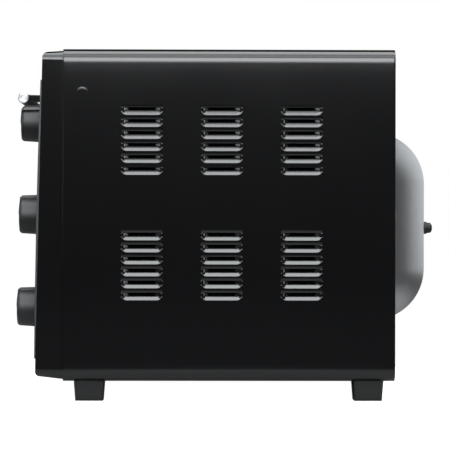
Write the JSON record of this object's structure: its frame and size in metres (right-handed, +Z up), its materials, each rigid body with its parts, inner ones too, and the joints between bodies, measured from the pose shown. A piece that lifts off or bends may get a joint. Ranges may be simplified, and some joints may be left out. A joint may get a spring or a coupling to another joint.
{
  "type": "toaster oven",
  "caption": "Countertop toaster oven with a drop-down glass door, bar handle, knobs, louvred black case and a bulged steel back.",
  "frame": {"origin": "on the table, in the middle of the oven's width and depth", "axes": "+Z up; the door faces -Y; the control knobs are at +X"},
  "size_m": [0.481, 0.418, 0.3243],
  "materials": {
    "black_paint": "satin black powder paint on folded steel",
    "bare_steel": "bare aluminised steel",
    "black_moulding": "black moulded plastic, fine texture",
    "panel_lacquer": "dark lacquered fascia with a satin sheen",
    "knob_plastic": "satin phenolic",
    "foot_plastic": "black moulded feet",
    "bumper_rubber": "black rubber",
    "handle_steel": "turned and brushed steel",
    "zinc_steel": "zinc-plated steel",
    "rack_chrome": "bright plated wire",
    "door_glass": "tinted tempered glass",
    "element_sheath": "heat-darkened steel sheath",
    "bush_ceramic": "unglazed steatite",
    "control_resin": "moulded phenolic resin",
    "lens_red": "clear red moulded lens",
    "lamp_glass": "neon lamp in a clear sleeve"
  },
  "bodies": {
    "case": {"outer_wrap": "black_paint", "back_panel": "black_paint", "base_plate": "bare_steel", "front_plate": "bare_steel", "cavity_shell": "bare_steel", "cavity_back": "bare_steel", "heat_shield": "bare_steel", "rack_rails": "bare_steel", "tray_rails": "bare_steel", "front_bezel": "black_moulding", "control_panel": "panel_lacquer", "foot_front_left": "foot_plastic", "foot_rear_left": "foot_plastic", "foot_front_right": "foot_plastic", "foot_rear_right": "foot_plastic", "rear_bumper": "bumper_rubber", "cord_gland": "bumper_rubber", "foot_screws": "zinc_steel", "back_screws": "zinc_steel", "hinge_brackets": "zinc_steel", "hinge_pins": "zinc_steel", "timer_bell": "zinc_steel", "lower_elements": "element_sheath", "upper_elements": "element_sheath", "element_bushes": "bush_ceramic", "terminal_block": "bush_ceramic", "thermostat": "control_resin", "function_switch": "control_resin", "timer": "control_resin", "indicator_lens": "lens_red", "indicator_lamp": "lamp_glass"},
    "door": {"door_frame": "black_moulding", "door_glass": "door_glass", "glass_retainer": "bare_steel", "handle_tube": "handle_steel", "handle_end_left": "handle_steel", "handle_end_right": "handle_steel", "handle_arms": "black_moulding", "handle_screws": "zinc_steel", "door_springs": "zinc_steel"},
    "rack": {"wire_rack": "rack_chrome"},
    "tray": {"crumb_tray": "bare_steel"},
    "timer_dial": {"timer_knob": "knob_plastic", "timer_shaft": "zinc_steel"},
    "function_dial": {"function_knob": "knob_plastic", "function_shaft": "zinc_steel"},
    "temperature_dial": {"temperature_knob": "knob_plastic", "temperature_shaft": "zinc_steel"}
  },
  "joints": [
    {"name": "door_hinge", "type": "hinge", "parent": "case", "child": "door", "pos_m": [-0.055, -0.17544, 0.055], "axis": [1, 0, 0], "range_deg": [0, 91], "stiffness_Nm_per_rad": 0.4, "springref_deg": -28.65},
    {"name": "rack_slide", "type": "slide", "parent": "case", "child": "rack", "axis": [0, -1, 0], "range_m": [0, 0.09]},
    {"name": "tray_slide", "type": "slide", "parent": "case", "child": "tray", "axis": [0, -1, 0], "range_m": [0, 0.19]},
    {"name": "timer_turn", "type": "hinge", "parent": "case", "child": "timer_dial", "pos_m": [0.184, -0.18381, 0.08428], "axis": [0, 0.9998, -0.0213], "range_deg": [0, 300]},
    {"name": "function_turn", "type": "hinge", "parent": "case", "child": "function_dial", "pos_m": [0.184, -0.18197, 0.17087], "axis": [0, 0.9998, -0.0213], "range_deg": [0, 240]},
    {"name": "temperature_turn", "type": "hinge", "parent": "case", "child": "temperature_dial", "pos_m": [0.184, -0.18013, 0.25745], "axis": [0, 0.9998, -0.0213], "range_deg": [-45, 225]}
  ],
  "couplings": [
    {"joint": "rack_slide", "follows": "door_hinge", "m_per_rad": 0.055}
  ]
}
